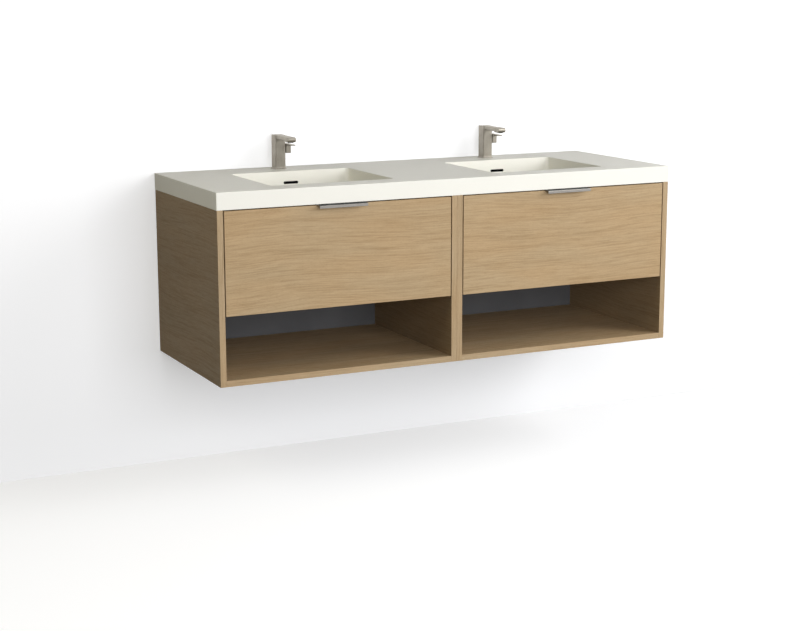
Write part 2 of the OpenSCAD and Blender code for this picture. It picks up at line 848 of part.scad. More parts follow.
module drawer_sides() {
    color(board) difference() {
        union() {
            span([x_box, y_box, z_box], [x_box + box_t, y_box_back, z_box_top]);
            span([x_box_end - box_t, y_box, z_box], [x_box_end, y_box_back, z_box_top]);
        }
        both_walls() slide_screw_holes(slide_t - cut, slide_t + side_screw_l + cut);
    }
}

notch_x0 = basin_x - notch_w / 2;
notch_x1 = basin_x + notch_w / 2;
y_notch = y_drain - notch_w / 2;

module drawer_back() {
    y0 = y_box_back - box_t;
    color(board) {
        span([x_box + box_t, y0, z_box], [notch_x0 - box_t, y_box_back, z_box_top]);
        span([notch_x1 + box_t, y0, z_box], [x_box_end - box_t, y_box_back, z_box_top]);
    }
}

// Upright wall round the notch for the drain pipes
module drawer_notch() {
    z0 = z_bottom + bottom_t;
    color(board) difference() {
        span([notch_x0 - box_t, y_notch - box_t, z0], [notch_x1 + box_t, y_box_back, z_box_top]);
        span([notch_x0, y_notch, z0 - cut], [notch_x1, y_box_back + cut, z_box_top + cut]);
    }
}

module drawer_bottom() {
    color(board) difference() {
        span([x_box + box_t, y_box + box_t, z_bottom],
             [x_box_end - box_t, y_box_back - box_t, z_bottom + bottom_t]);
        span([notch_x0, y_notch, z_bottom - cut], [notch_x1, y_box_back, z_bottom + bottom_t + cut]);
    }
}

module drawer_screws() {
    color(steel) {
        for (p = sub_screws)
            translate([p[0], y_box + box_t, p[1]]) rotate([90, 0, 0])
                screw(screw_r, box_t + front_screw_l);
        for (x = pull_screws)
            translate([x, y_front_in + pull_t, pull_screw_z]) rotate([90, 0, 0])
                screw(screw_r, pull_t + front_screw_l);
        both_walls() for (y = slide_screw_ys)
            translate([slide_t - sheet_t, y, z_slide]) rotate([0, 90, 0])
                screw(screw_r, sheet_t + side_screw_l);
    }
}

// ---- nodes ----

countertop();
half(L) basin();  // left_basin
half(R) basin();  // right_basin
at_faucet(L) faucet_body();  // left_faucet_body
at_faucet(R) faucet_body();  // right_faucet_body
at_faucet(L) aerator();  // left_aerator
at_faucet(R) aerator();  // right_aerator
at_faucet(L) cartridge();  // left_faucet_cartridge
at_faucet(R) cartridge();  // right_faucet_cartridge
at_faucet(L) lever();  // left_faucet_lever
at_faucet(R) lever();  // right_faucet_lever
faucet_nuts();
half(L) drain_body();  // left_drain_body
half(R) drain_body();  // right_drain_body
half(L) stopper();  // left_stopper
half(R) stopper();  // right_stopper
drain_gaskets();
drain_nuts();
half(L) tailpiece();  // left_tailpiece
half(R) tailpiece();  // right_tailpiece
half(L) outer_side();  // left_outer_side
half(L) inner_side();  // left_inner_side
half(R) inner_side();  // right_inner_side
half(R) outer_side();  // right_outer_side
half(L) floor_board();  // left_floor
half(R) floor_board();  // right_floor
half(L) divider();  // left_divider
half(R) divider();  // right_divider
shelf_backs();
front_rails();
hanging_rails();
carcass_dowels();
joining_bolts();
wall_cleats();
cabinet_cleats();
cleat_screws();
half(L) slide_outer();  // left_slide_outer
half(R) slide_outer();  // right_slide_outer
slide_screws();
half(L) slide_middle();  // left_slide_middle
half(R) slide_middle();  // right_slide_middle
half(L) drawer_front();  // left_drawer_front
half(R) drawer_front();  // right_drawer_front
half(L) edge_pull();  // left_edge_pull
half(R) edge_pull();  // right_edge_pull
half(L) drawer_subfront();  // left_drawer_subfront
half(R) drawer_subfront();  // right_drawer_subfront
half(L) drawer_sides();  // left_drawer_sides
half(R) drawer_sides();  // right_drawer_sides
half(L) drawer_back();  // left_drawer_back
half(R) drawer_back();  // right_drawer_back
half(L) drawer_notch();  // left_drawer_notch
half(R) drawer_notch();  // right_drawer_notch
half(L) drawer_bottom();  // left_drawer_bottom
half(R) drawer_bottom();  // right_drawer_bottom
half(L) slide_inner();  // left_slide_inner
half(R) slide_inner();  // right_slide_inner
half(L) drawer_screws();  // left_drawer_screws
half(R) drawer_screws();  // right_drawer_screws
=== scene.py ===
"""Wall-hung double vanity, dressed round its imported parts.

Metres in the scene, millimetres in the sizes below. X runs right, Y to the wall and Z up; the origin is the
middle of the wall screws. The top's left half mirrors its right half, and the two faucets are alike.
"""
import json

import bmesh
import bpy
import numpy as np
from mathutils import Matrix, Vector


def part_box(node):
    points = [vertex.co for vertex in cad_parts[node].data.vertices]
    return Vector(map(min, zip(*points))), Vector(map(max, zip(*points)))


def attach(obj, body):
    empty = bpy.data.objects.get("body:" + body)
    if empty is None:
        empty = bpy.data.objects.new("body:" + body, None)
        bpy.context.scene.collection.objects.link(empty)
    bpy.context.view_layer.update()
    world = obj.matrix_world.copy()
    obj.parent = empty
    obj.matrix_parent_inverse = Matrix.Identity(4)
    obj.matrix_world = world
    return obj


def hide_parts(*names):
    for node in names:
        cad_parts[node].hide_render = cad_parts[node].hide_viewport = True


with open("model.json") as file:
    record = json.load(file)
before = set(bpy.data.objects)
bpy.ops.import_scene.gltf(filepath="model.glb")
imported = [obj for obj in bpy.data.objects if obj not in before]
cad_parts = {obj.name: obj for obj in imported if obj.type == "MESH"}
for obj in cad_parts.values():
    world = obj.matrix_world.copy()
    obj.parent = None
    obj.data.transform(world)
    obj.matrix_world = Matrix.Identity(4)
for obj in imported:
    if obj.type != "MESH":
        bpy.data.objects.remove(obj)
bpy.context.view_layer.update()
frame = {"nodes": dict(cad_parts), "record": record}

MM = 0.001
MERGE = 1e-6
SIDES = (("left", -1.0), ("right", 1.0))
X, Y, Z = 0, 1, 2
QUARTER = np.pi / 2


# ---- surfaces ----


def grid(points, keep=None):
    """A sheet over rows x columns x 3 points: each face joins (i, j), (i, j+1), (i+1, j+1) and (i+1, j).

    The columns wrap round. keep is a mask of the faces that stay, rows-1 x columns.
    """
    rows, columns = points.shape[:2]
    i, j = np.meshgrid(np.arange(rows - 1), np.arange(columns), indexing="ij")
    k = (j + 1) % columns
    faces = np.stack([i * columns + j, i * columns + k, (i + 1) * columns + k, (i + 1) * columns + j], -1)
    faces = faces.reshape(-1, 4) if keep is None else faces[keep]
    return points.reshape(-1, 3), [faces]


def capped(points, keep=None):
    """A closed tube over rows x columns points, with one flat face over its first and its last row."""
    rows, columns = points.shape[:2]
    verts, faces = grid(points, keep=keep)
    ends = np.array([np.arange(columns), np.arange((rows - 1) * columns, rows * columns)])
    return verts, faces + [ends]


def blind_hole(loops):
    """A tube over a list of loops, with one flat face over its last loop only."""
    verts, faces = grid(np.array(loops))
    end = np.arange(len(verts) - len(loops[0]), len(verts))[None]
    return verts, faces + [end]


def quarter_round(r, steps):
    """Pairs along a quarter circle: r x (1 - sin a) falls from r to 0 while r x (1 - cos a) rises to r."""
    a = np.linspace(0, QUARTER, steps + 1)
    return np.column_stack([r * (1 - np.sin(a)), r * (1 - np.cos(a))])


def outline(corners, radii, steps):
    """Points and outward normals of a counter-clockwise outline with round corners.

    Each arc's centre lies on its corner's bisector at radius / sin(half angle); the arc swings from one
    side's touching point to the other's.
    """
    c = np.asarray(corners, float)
    back, ahead = np.roll(c, 1, 0) - c, np.roll(c, -1, 0) - c
    back /= np.linalg.norm(back, axis=1)[:, None]
    ahead /= np.linalg.norm(ahead, axis=1)[:, None]
    half = np.arccos(np.clip((back * ahead).sum(1), -1, 1)) / 2
    r = np.broadcast_to(np.asarray(radii, float), len(c))
    mid = back + ahead
    centre = c + mid / np.linalg.norm(mid, axis=1)[:, None] * (r / np.sin(half))[:, None]
    reach = (r / np.tan(half))[:, None]
    a, b = c + back * reach - centre, c + ahead * reach - centre
    swing = np.pi - 2 * half
    t = np.linspace(0, 1, steps + 1)[None, :, None]
    w = swing[:, None, None]
    arc = (np.sin((1 - t) * w) * a[:, None] + np.sin(t * w) * b[:, None]) / np.sin(w)
    turn = np.sign(ahead[:, 1] * back[:, 0] - ahead[:, 0] * back[:, 1])
    normals = -arc / r[:, None, None] * turn[:, None, None]
    return (centre[:, None] + arc).reshape(-1, 2), normals.reshape(-1, 2)


def slab(shape, axis, start, end, edge, steps=3):
    """A bar of one outline along an axis, its end edges rounded.

    Near an end the outline shrinks by edge x (1 - sin a) while it moves edge x (1 - cos a) inwards.
    """
    points, normals = shape
    shrink, along = quarter_round(edge, steps).T
    shrink = np.concatenate([shrink, shrink[::-1]])
    at = np.concatenate([start + along, end - along[::-1]])
    flat = points[None] - normals[None] * shrink[:, None, None]
    rows = np.empty((len(at), len(points), 3))
    rows[..., [k for k in (X, Y, Z) if k != axis]] = flat
    rows[..., axis] = at[:, None]
    return capped(rows)


def board(low, high, edge=0.6, steps=2):
    """A box with rounded edges: a slab of its plan, from its lowest to its highest corner."""
    (x0, y0, z0), (x1, y1, z1) = low, high
    plan = outline([(x0, y0), (x1, y0), (x1, y1), (x0, y1)], edge, steps)
    return slab(plan, Z, z0, z1, edge, steps)


def lathe(profile, centre, axis=Z, turns=64):
    """A profile of (radius, height) points turned round an axis through centre."""
    r, h = np.asarray(profile, float).T
    a = np.linspace(0, 2 * np.pi, turns, endpoint=False)
    rows = np.empty((len(r), turns, 3))
    u, v = [k for k in (X, Y, Z) if k != axis]
    rows[..., u] = centre[u] + r[:, None] * np.cos(a)
    rows[..., v] = centre[v] + r[:, None] * np.sin(a)
    rows[..., axis] = centre[axis] + h[:, None]
    return grid(rows)


def window(corners, loop):
    """The flat frame between four corners and a loop of four equal quarters inside them.

    Each quarter's points fan out to its own corner, and a four-sided face joins each pair of quarters.
    """
    q = len(loop) // 4
    k = np.arange(4 * q).reshape(4, q) + 4
    fans = np.stack([np.repeat(np.arange(4), q - 1), k[:, :-1].ravel(), k[:, 1:].ravel()], -1)
    joins = np.stack([np.arange(4), k[:, -1], np.roll(k[:, 0], -1), np.roll(np.arange(4), -1)], -1)
    return np.concatenate([corners, loop]), [fans, joins]


def both_halves(shells):
    """The right half's shells mirrored in X for the left half, and then as they are."""
    return [(points * (s, 1, 1), faces) for _, s in SIDES for points, faces in shells]


def moved(shell, offset):
    """The shell carried by an offset."""
    points, faces = shell
    return points + np.asarray(offset, float), faces


def piece(name, shells, body, stands_for=(), materials=(), paint=None, crease=32):
    """One object of shells in millimetres. Doubles are merged, then faces turn outwards.

    It rides on a body and stands for the named nodes. paint(centres, normals) gives each face's material
    number. Edges over crease degrees stay sharp.
    """
    points = np.concatenate([p for p, _ in shells])
    starts = np.cumsum([0] + [len(p) for p, _ in shells])
    faces = [face for start, (_, groups) in zip(starts, shells)
             for group in groups for face in (group + start).tolist()]
    mesh = bpy.data.meshes.new(name)
    mesh.from_pydata(points * MM, [], faces)
    bm = bmesh.new()
    bm.from_mesh(mesh)
    bmesh.ops.remove_doubles(bm, verts=bm.verts, dist=MERGE)
    bmesh.ops.dissolve_degenerate(bm, edges=bm.edges, dist=MERGE)
    bmesh.ops.delete(bm, geom=[v for v in bm.verts if not v.link_faces], context="VERTS")
    bmesh.ops.recalc_face_normals(bm, faces=bm.faces)
    bm.to_mesh(mesh)
    bm.free()
    count = len(mesh.polygons)
    mesh.polygons.foreach_set("use_smooth", np.ones(count, bool))
    mesh.set_sharp_from_angle(angle=np.radians(crease))
    for coat in materials:
        mesh.materials.append(coat)
    if paint:
        centres, normals = np.empty(count * 3), np.empty(count * 3)
        mesh.polygons.foreach_get("center", centres)
        mesh.polygons.foreach_get("normal", normals)
        index = paint(centres.reshape(-1, 3) / MM, normals.reshape(-1, 3))
        mesh.polygons.foreach_set("material_index", np.asarray(index, np.int32))
    obj = bpy.data.objects.new(name, mesh)
    bpy.context.scene.collection.objects.link(obj)
    even = obj.modifiers.new("even_normals", "WEIGHTED_NORMAL")
    even.keep_sharp = True
    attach(obj, body)
    if stands_for:
        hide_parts(*stands_for)
    return obj


# ---- materials ----


BLACK, GREY, WHITE = (0.0, 0.0, 0.0, 1.0), (0.5, 0.5, 0.5, 1.0), (1.0, 1.0, 1.0, 1.0)
# turns that lay an effect's X axis along an axis of the scene
ALONG_X, ALONG_Y, ALONG_Z = (0, 0, 0), (0, 0, QUARTER), (0, QUARTER, 0)


class Nodes:
    """Adds nodes to one tree; an input is a value or another node's output."""

    def __init__(self, tree):
        self.tree = tree

    def add(self, kind, inputs=(), out=0, **settings):
        """One node with its inputs set or linked; what comes back is one of its outputs."""
        node = self.tree.nodes.new(kind)
        for key, value in settings.items():
            setattr(node, key, value)
        for key, value in dict(inputs).items():
            if isinstance(value, bpy.types.NodeSocket):
                self.tree.links.new(value, node.inputs[key])
            else:
                node.inputs[key].default_value = value
        return node.outputs[out]

    def maths(self, what, a, b=0.0, c=0.0):
        return self.add("ShaderNodeMath", {0: a, 1: b, 2: c}, operation=what)

    def stretch(self, vector, scale, turn=ALONG_X):
        """The vector scaled along each axis and then turned."""
        return self.add("ShaderNodeMapping", {"Vector": vector, "Scale": scale, "Rotation": turn})

    def noise(self, vector, scale=1.0, detail=2.0, rough=0.5):
        return self.add("ShaderNodeTexNoise",
                        {"Vector": vector, "Scale": scale, "Detail": detail, "Roughness": rough})

    def ramp(self, value, low, high, to_low=0.0, to_high=1.0):
        """The value taken from low..high to to_low..to_high, and held at the ends."""
        return self.add("ShaderNodeMapRange", {0: value, 1: low, 2: high, 3: to_low, 4: to_high})

    def blend(self, factor, a, b, how="MIX"):
        return self.add("ShaderNodeMix", {0: factor, 6: a, 7: b}, out=2, data_type="RGBA", blend_type=how)


EFFECT_OUTPUTS = {"Color": "NodeSocketColor", "Roughness": "NodeSocketFloat", "Height": "NodeSocketFloat"}


def effect(name, inputs, build):
    """A shader node group with these inputs (name: default); build gives its outputs in the order above.

    A default that is a tuple makes a colour input, and a list a vector input.
    """
    tree = bpy.data.node_groups.new(name, "ShaderNodeTree")
    kinds = {tuple: "NodeSocketColor", float: "NodeSocketFloat", list: "NodeSocketVector"}
    for label, value in inputs.items():
        socket = tree.interface.new_socket(label, in_out="INPUT", socket_type=kinds[type(value)])
        socket.default_value = tuple(value) if isinstance(value, list) else value
    for label, kind in EFFECT_OUTPUTS.items():
        tree.interface.new_socket(label, in_out="OUTPUT", socket_type=kind)
    entry = tree.nodes.new("NodeGroupInput")
    leave = tree.nodes.new("NodeGroupOutput")
    made = build(Nodes(tree), entry.outputs)
    for label, socket in zip(EFFECT_OUTPUTS, made):
        tree.links.new(socket, leave.inputs[label])
    return tree


def build_wood(n, i):
    """Veneer with its grain along X.

    The height across the grain is Z and a part of Y, so that boards that lie flat show grain too, and a swell
    and a ripple bend it. On the bent height lie short dark dashes, wide bands, mottle, fibres and pores, each
    a noise drawn out along X. Slow patches turn the colour towards honey.
    """
    v = n.add("ShaderNodeVectorMath", {0: i["Vector"], 1: i["Shift"]}, operation="ADD")
    xyz = n.tree.nodes.new("ShaderNodeSeparateXYZ")
    n.tree.links.new(v, xyz.inputs[0])
    across = n.maths("MULTIPLY_ADD", xyz.outputs["Y"], 0.7, xyz.outputs["Z"])
    swell = n.noise(n.stretch(v, (1.5, 2.6, 2.6)), detail=1.0)
    ripple = n.noise(n.stretch(v, (6.5, 14.0, 14.0)), detail=1.0)
    across = n.maths("MULTIPLY_ADD", swell, 0.06, across)
    across = n.maths("MULTIPLY_ADD", ripple, 0.006, across)
    flow = n.add("ShaderNodeCombineXYZ", {"X": xyz.outputs["X"], "Y": across, "Z": xyz.outputs["Y"]})

    def layer(along, across, through, low, high, **fineness):
        """A noise with so many spots a metre along, across and through the grain: 0 at low, 1 at high."""
        return n.ramp(n.noise(n.stretch(flow, (along, across, through)), **fineness), low, high)

    dashes = layer(6.5, 250.0, 12.0, 0.36, 0.53, detail=4.0, rough=0.66)
    bands = layer(1.6, 32.0, 6.0, 0.30, 0.70, detail=4.0, rough=0.6)
    mottle = layer(24.0, 170.0, 60.0, 0.30, 0.70)
    fibres = layer(26.0, 760.0, 60.0, 0.25, 0.75, detail=3.0, rough=0.65)
    pores = layer(110.0, 2400.0, 300.0, 0.56, 0.66)
    tone = n.maths("MULTIPLY", dashes, 0.33)
    for mask, weight in ((bands, 0.18), (mottle, 0.12), (fibres, 0.37)):
        tone = n.maths("MULTIPLY_ADD", mask, weight, tone)
    tone = n.maths("MULTIPLY_ADD", pores, n.maths("MULTIPLY", i["Pores"], -1.0), tone)
    patches = n.ramp(n.noise(n.stretch(v, (3.4, 11.0, 11.0))), 0.36, 0.64)
    hue = n.blend(patches, (0.995, 1.0, 1.0, 1), (1.02, 0.985, 0.94, 1))
    colour = n.blend(1.0, n.blend(tone, i["Dark"], i["Light"]), hue, "MULTIPLY")
    rough = n.ramp(tone, 0.2, 0.9, 0.62, 0.50)
    return colour, rough, tone


def build_brushed(n, i):
    """Metal brushed along X: long fine streaks over a slow cloud of the same tone."""
    streaks = n.noise(n.stretch(i["Vector"], (14.0, 1500.0, 1500.0)), detail=3.0, rough=0.7)
    cloud = n.noise(n.stretch(i["Vector"], (40.0, 60.0, 60.0)))
    tone = n.maths("MULTIPLY_ADD", n.ramp(cloud, 0.3, 0.7), 0.35, n.maths("MULTIPLY", streaks, 0.65))
    colour = n.blend(tone, i["Dark"], i["Light"])
    rough = n.maths("ADD", n.ramp(tone, 0.25, 0.75, 0.05, -0.05), i["Gloss"])
    return colour, rough, streaks


def build_fine(n, i):
    """A fine even surface, such as cast composite, plastic or zinc: grains over slow clouds."""
    grains = n.noise(i["Vector"], scale=i["Grain"])
    cloud = n.noise(i["Vector"], scale=9.0, detail=3.0)
    tone = n.maths("MULTIPLY_ADD", grains, 0.5, n.maths("MULTIPLY", cloud, 0.5))
    colour = n.blend(n.ramp(tone, 0.3, 0.7), i["Dark"], i["Light"])
    rough = n.ramp(cloud, 0.3, 0.7, -0.03, 0.03)
    return colour, n.maths("ADD", rough, i["Gloss"]), grains


wood_effect = effect("wood_grain", {"Vector": [0.0] * 3, "Shift": [0.0] * 3, "Dark": BLACK, "Light": GREY,
                                    "Pores": 0.2}, build_wood)
brushed_effect = effect("brushed_metal", {"Vector": [0.0] * 3, "Dark": BLACK, "Light": GREY, "Gloss": 0.3},
                        build_brushed)
fine_effect = effect("fine_surface", {"Vector": [0.0] * 3, "Dark": BLACK, "Light": GREY, "Grain": 900.0,
                                      "Gloss": 0.4}, build_fine)


def material(name, group, inputs, turn=ALONG_X, bump=0.1, depth=0.0002, **shader):
    """A Principled material fed by one effect, whose X axis is turned to the way the surface runs.

    bump and depth, in metres, give the relief of the effect's height; shader sets the shader's own inputs.
    """
    made = bpy.data.materials.new(name)
    made.use_nodes = True
    tree = made.node_tree
    n = Nodes(tree)
    bsdf = tree.nodes["Principled BSDF"]
    place = n.add("ShaderNodeTexCoord", out="Object")
    vector = n.stretch(place, (1, 1, 1), turn=turn)
    node = tree.nodes.new("ShaderNodeGroup")
    node.node_tree = group
    tree.links.new(vector, node.inputs["Vector"])
    for key, value in inputs.items():
        node.inputs[key].default_value = value
    tree.links.new(node.outputs["Color"], bsdf.inputs["Base Color"])
    tree.links.new(node.outputs["Roughness"], bsdf.inputs["Roughness"])
    relief = n.add("ShaderNodeBump", {"Strength": bump, "Distance": depth, "Height": node.outputs["Height"]})
    tree.links.new(relief, bsdf.inputs["Normal"])
    for key, value in shader.items():
        bsdf.inputs[key.replace("_", " ")].default_value = value
    return made


OAK_DARK, OAK_LIGHT = (0.326, 0.221, 0.115, 1), (0.548, 0.408, 0.248, 1)
EDGE_DARK, EDGE_LIGHT = (0.335, 0.233, 0.128, 1), (0.53, 0.40, 0.252, 1)


def oak(name, turn=ALONG_X, shift=(0, 0, 0), dark=OAK_DARK, light=OAK_LIGHT):
    """Lacquered veneer, turned to its grain's way and shifted to a part of the pattern of its own."""
    return material(name, wood_effect, {"Shift": shift, "Dark": dark, "Light": light, "Pores": 0.38}, turn,
                    bump=0.25, depth=0.0003, Specular_IOR_Level=0.10)


def even_finish(name, dark, light, gloss, grain=900.0, **shader):
    """A fine even surface from a dark to a light colour."""
    inputs = {"Dark": (*dark, 1), "Light": (*light, 1), "Grain": grain, "Gloss": gloss}
    return material(name, fine_effect, inputs, **shader)


def brushed_metal(name, dark, light, gloss, turn=ALONG_X, bump=0.06, depth=0.00004, **shader):
    """Metal brushed the way that turn gives, from a dark to a light colour."""
    inputs = {"Dark": (*dark, 1), "Light": (*light, 1), "Gloss": gloss}
    return material(name, brushed_effect, inputs, turn, bump, depth, Metallic=1.0, **shader)


oak_face = {name: oak(f"oak_face_{name}", shift=shift) for name, shift in
            (("left", (0.3, 0.1, 0.2)), ("right", (2.1, 0.4, 1.3)))}
# painted shade: the shelf floors and dividers wear the face oak at about 0.87 of its brightness, for the
# shade inside the open shelves
SHELF_DARK_PAINTED_SHADE, SHELF_LIGHT_PAINTED_SHADE = (0.283, 0.193, 0.102, 1), (0.477, 0.357, 0.220, 1)
oak_shelf_painted_shade = {name: oak(f"oak_shelf_painted_shade_{name}", ALONG_X, shift, SHELF_DARK_PAINTED_SHADE, SHELF_LIGHT_PAINTED_SHADE) for name, shift in
             (("left", (4.3, 0.9, 0.7)), ("right", (5.2, 1.6, 2.1)))}
# painted shade: the side boards wear the face oak at about two thirds of its brightness, for the shade on the
# cabinet's sides and inner walls
SIDE_DARK_PAINTED_SHADE, SIDE_LIGHT_PAINTED_SHADE = (0.220, 0.148, 0.077, 1), (0.370, 0.275, 0.168, 1)
oak_side_painted_shade = {name: oak(f"oak_side_painted_shade_{name}", ALONG_Y, shift, SIDE_DARK_PAINTED_SHADE, SIDE_LIGHT_PAINTED_SHADE) for name, shift in
            (("left_outer", (1.1, 0.2, 0.9)), ("left_inner", (3.3, 0.7, 0.4)),
             ("right_inner", (6.1, 0.3, 1.7)), ("right_outer", (7.4, 0.8, 0.1)))}
oak_band_upright = oak("oak_band_upright", ALONG_Z, (0.5, 0.3, 0.2), EDGE_DARK, EDGE_LIGHT)
oak_band_level = oak("oak_band_level", ALONG_X, (8.2, 0.4, 0.6), EDGE_DARK, EDGE_LIGHT)
BIRCH_DARK, BIRCH_LIGHT = (0.52, 0.40, 0.25, 1), (0.70, 0.58, 0.41, 1)
birch_x = oak("birch_along_x", ALONG_X, (2.2, 1.4, 3.6), BIRCH_DARK, BIRCH_LIGHT)
birch_y = oak("birch_along_y", ALONG_Y, (4.2, 1.1, 2.6), BIRCH_DARK, BIRCH_LIGHT)
dark_panel = even_finish("dark_grey_panel", (0.088, 0.090, 0.094), (0.118, 0.120, 0.125), 0.55,
                         bump=0.15, Specular_IOR_Level=0.3)
composite = even_finish("white_composite", (0.872, 0.858, 0.782), (0.896, 0.884, 0.812), 0.42, 600.0,
                        bump=0.0, Specular_IOR_Level=0.14)
# painted shade: near-black and matt, for the dark inside the shallow overflow slot
duct_painted_shade = even_finish("slot_painted_shade", (0.004, 0.004, 0.005), (0.009, 0.009, 0.01), 0.8,
                        bump=0.0, Specular_IOR_Level=0.05)
# painted shade: near-black for the pull strip's upward faces, standing for the shadow in the gap under the
# top
pull_top_painted_shade = even_finish("pull_top_painted_shade", (0.012, 0.012, 0.012), (0.024, 0.024, 0.023), 0.6,
                         Specular_IOR_Level=0.12)
chrome = even_finish("polished_chrome", (0.60, 0.60, 0.61), (0.68, 0.68, 0.69), 0.09, bump=0.01, Metallic=1.0)
zinc = even_finish("zinc_plate", (0.38, 0.39, 0.40), (0.60, 0.61, 0.62), 0.35, 260.0, bump=0.05, Metallic=1.0)
black_plastic = even_finish("black_plastic", (0.010, 0.010, 0.010), (0.028, 0.028, 0.028), 0.45)
rubber = even_finish("black_rubber", (0.012, 0.012, 0.012), (0.03, 0.03, 0.03), 0.7, bump=0.2)
NICKEL = ((0.270, 0.247, 0.208), (0.395, 0.367, 0.317), 0.44)
NICKEL_LOOK = {"depth": 0.00005, "Specular_Tint": (0.93, 0.91, 0.87, 1)}
nickel_up = brushed_metal("brushed_nickel_upright", *NICKEL, ALONG_Z, **NICKEL_LOOK)
nickel_out = brushed_metal("brushed_nickel_outward", *NICKEL, ALONG_Y, **NICKEL_LOOK)
satin_aluminium = brushed_metal("satin_aluminium", (0.225, 0.213, 0.195), (0.34, 0.324, 0.30), 0.4)
brass = brushed_metal("machined_brass", (0.45, 0.33, 0.14), (0.66, 0.52, 0.27), 0.3, bump=0.1)

CAD_FINISH = {"brass": brass, "black_plastic": black_plastic, "rubber": rubber, "zinc_steel": zinc,
              "chrome": chrome, "nickel": nickel_up, "aluminium": satin_aluminium, "pale_board": birch_x,
              "dark_panel": dark_panel, "oak": oak_face["left"], "composite": composite}
# the solids that no piece below replaces show in these finishes
for part in frame["record"]["subparts"]:
    mesh = frame["nodes"][part["node"]].data
    mesh.materials.clear()
    mesh.materials.append(CAD_FINISH[part["material_slot"]])


# ---- the top with its two basins ----


top_low, top_high = (np.array(c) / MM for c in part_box("countertop"))
TOP_HALF, TOP_FRONT, TOP_Z = top_high[X], top_low[Y], top_high[Z]
# a thin deck with a deep band under its edge
TOP_UNDER, TOP_BOTTOM = TOP_Z - 14, top_low[Z]
BAND, TOP_CORNER_R = 30, 2
# the bowl: the middle and the back of its rim, its width, depth from front to back and drop below the deck
BASIN_X, RIM_BACK, BASIN_W, BASIN_D, BASIN_DROP = 361.5, -134, 388, 326, 110
# its walls lean in by LEAN before FLOOR_R bends them into the floor, and its corners widen on the way down
LEAN, FLOOR_R, RIM_R, CORNER_SPREAD, WALL = 8, 30, 12, 1 / 40, 10
SLOPE = LEAN / (BASIN_DROP - FLOOR_R)
# the drain's hole and boss, and the seat of its flange in the floor
DRAIN_Y, BOSS_Z, BOSS_R, DRAIN_HOLE_R = -229, -28, 34, 22.5
DRAIN_SEAT_R, DRAIN_SEAT = 32.6, 2
# the overflow slot in the back wall: its drop, half the length of its straight sides and its end radius
SLOT_DROP, SLOT_HALF, SLOT_R = 35, 20, 4
# the flat frame round it, to each side and up and down, its round lip and the duct behind it
SLOT_FRAME, SLOT_MARGIN, SLOT_LIP, DUCT_DEPTH = 27, 8, 1.2, 9
# spans in the arc of a corner, in a rounded edge and in the bend into the floor
ARC, EDGE_STEPS, BEND_STEPS = 8, 4, 7


def ring(low, high, radii, z, stops, leads=None):
    """A level loop round a rectangle, from its front right corner counter-clockwise.

    Each corner has ARC + 1 points on an arc, or with leads on a shorter arc between two points that stand
    leads millimetres before and after the corner. Two more points stand at the stops on the back side.
    """
    (x0, y0), (x1, y1) = low, high
    corners = np.array([(x1, y0), (x1, y1), (x0, y1), (x0, y0)], float)
    inward = np.array([(-1, 1), (-1, -1), (1, -1), (1, 1)], float)
    travel = np.array([(1, 0), (0, 1), (-1, 0), (0, -1)], float)
    r = np.broadcast_to(np.asarray(radii, float), 4)[:, None]
    count = ARC + 1 if leads is None else ARC - 1
    a = (np.arange(4)[:, None] - 1) * QUARTER + np.linspace(0, QUARTER, count)
    arc = (corners + inward * r)[:, None] + r[..., None] * np.stack([np.cos(a), np.sin(a)], -1)
    if leads is not None:
        before = (corners - travel * leads)[:, None]
        after = (corners + np.roll(travel, -1, 0) * leads)[:, None]
        arc = np.concatenate([before, arc, after], 1)
    back = np.array([(BASIN_X + stops, y1), (BASIN_X - stops, y1)])
    flat = np.concatenate([arc[0], arc[1], back, arc[2], arc[3]])
    return np.column_stack([flat, np.full(len(flat), z)])


def basin_ring(drop, turn=0.0, grow=0.0):
    """The bowl's loop at a drop below the deck; its walls lean in, then bend by turn into the floor.

    With grow the loop stands that far outside the bowl's skin.
    """
    bend = FLOOR_R * (1 - np.cos(turn))
    straight = min(drop, BASIN_DROP - FLOOR_R) / (BASIN_DROP - FLOOR_R)
    come_in = LEAN * straight + bend - grow
    half = BASIN_W / 2 - come_in
    low = (BASIN_X - half, RIM_BACK - BASIN_D + come_in)
    high = (BASIN_X + half, RIM_BACK - come_in)
    r = RIM_R + bend / 2 + drop * CORNER_SPREAD + grow / 2
    return ring(low, high, r, TOP_Z - drop - grow * np.sin(turn), SLOT_FRAME)


def drain_ring(r, z):
    """A circle round the drain."""
    return ring((BASIN_X - r, DRAIN_Y - r), (BASIN_X + r, DRAIN_Y + r), r, z, 0)


def edge_ring(inset, z):
    """The top's own outline in its right half, drawn in from the front and the end."""
    r = (max(TOP_CORNER_R - inset, 0), 0, 0, 0)
    return ring((0, TOP_FRONT + inset), (TOP_HALF - inset, 0), r, z, SLOT_FRAME, leads=BAND)


def hollow_ring(z):
    """The hollow under the top, inside its bands; the band at the wall is half as deep."""
    return ring((BAND, TOP_FRONT + BAND), (TOP_HALF - BAND, -BAND / 2), 0, z, SLOT_FRAME, leads=0)


def stadium(half, r, quarter=7):
    """A slot's outline about its middle: two half circles joined by straight sides, in four quarters."""
    a = (np.arange(4)[:, None] * QUARTER + np.linspace(0, QUARTER, quarter)).ravel()
    shift = np.repeat([half, -half, -half, half], quarter)
    return np.column_stack([shift + r * np.cos(a), r * np.sin(a)])


